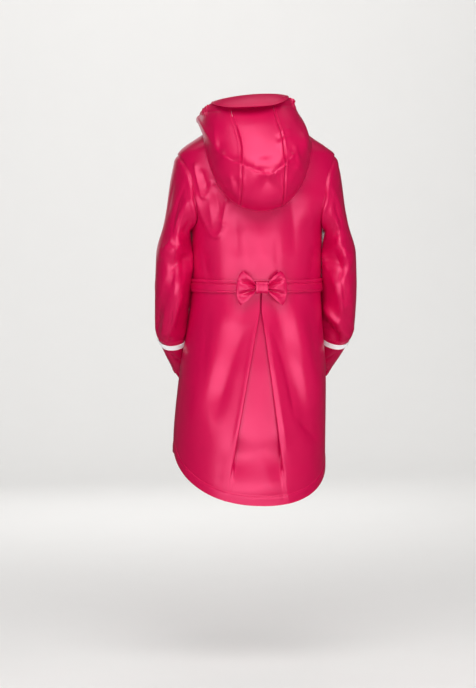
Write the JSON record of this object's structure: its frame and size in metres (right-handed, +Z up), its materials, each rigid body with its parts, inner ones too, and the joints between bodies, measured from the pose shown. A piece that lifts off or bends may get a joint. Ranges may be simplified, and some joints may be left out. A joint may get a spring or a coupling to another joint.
{
  "type": "rain jacket",
  "caption": "Girl's long pink hooded raincoat in worn form, with a bow on the back waist, a back pleat and reflective sleeve bands.",
  "frame": {"origin": "between the shoulders, level with where the neckline meets the shoulder seams, which is where the garment rests on its wearer", "axes": "+Z up, +Y towards the wearer's back, +X towards the wearer's left"},
  "size_m": [0.414, 0.3171, 0.8183],
  "materials": {
    "coated_fabric": "semi-gloss polyurethane coating on a knitted back",
    "reflective_tape": "silver reflective",
    "press_studs": "gloss"
  },
  "bodies": {
    "root": {"bodice_back": "coated_fabric", "skirt_back": "coated_fabric", "waistband_back": "coated_fabric", "front_left": "coated_fabric", "front_right": "coated_fabric", "sleeve_left": "coated_fabric", "sleeve_right": "coated_fabric", "reflective_tape_left": "reflective_tape", "reflective_tape_right": "reflective_tape", "hood_side_left": "coated_fabric", "hood_side_right": "coated_fabric", "hood_centre": "coated_fabric", "hood_peak": "coated_fabric", "bow_loop_left": "coated_fabric", "bow_loop_right": "coated_fabric", "bow_knot": "coated_fabric", "closure_flap": "coated_fabric", "press_stud_1": "press_studs", "press_stud_2": "press_studs", "press_stud_3": "press_studs", "press_stud_4": "press_studs", "press_stud_5": "press_studs", "press_stud_6": "press_studs"}
  },
  "joints": []
}
